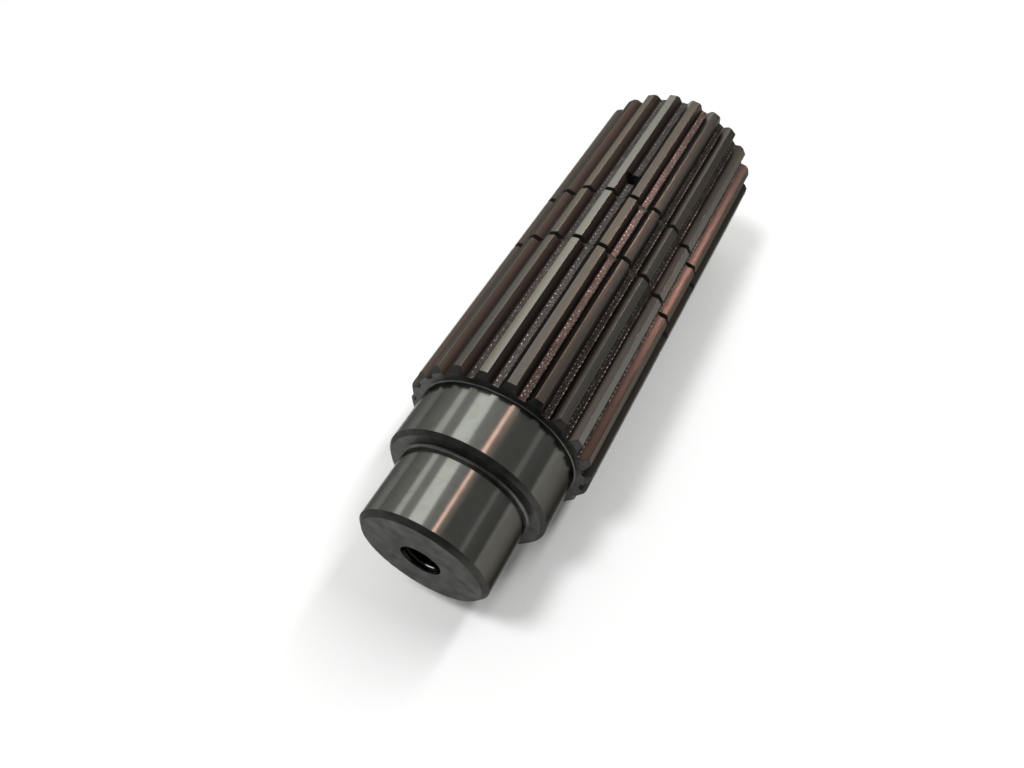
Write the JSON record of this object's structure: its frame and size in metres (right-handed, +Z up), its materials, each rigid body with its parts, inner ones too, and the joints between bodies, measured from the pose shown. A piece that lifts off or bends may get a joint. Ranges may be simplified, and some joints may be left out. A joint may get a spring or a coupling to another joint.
{
  "type": "splined shaft",
  "caption": "Solid steel shaft with a long external involute spline, crossed by ring grooves and an oil hole, and stepped ground bearing seats with a tapped centre hole at one end.",
  "frame": {"origin": "on the surface that the shaft lies on, below the middle of its length and of its width", "axes": "+X along the shaft's axis from the journal end to the far end of the spline, +Z up, +Y across"},
  "size_m": [0.183, 0.0594, 0.0592],
  "materials": {
    "machined_steel": "Bare machined steel: ground bearing seats, turned end faces and hobbed teeth"
  },
  "bodies": {
    "root": {"splined_shaft": "machined_steel"}
  },
  "joints": []
}
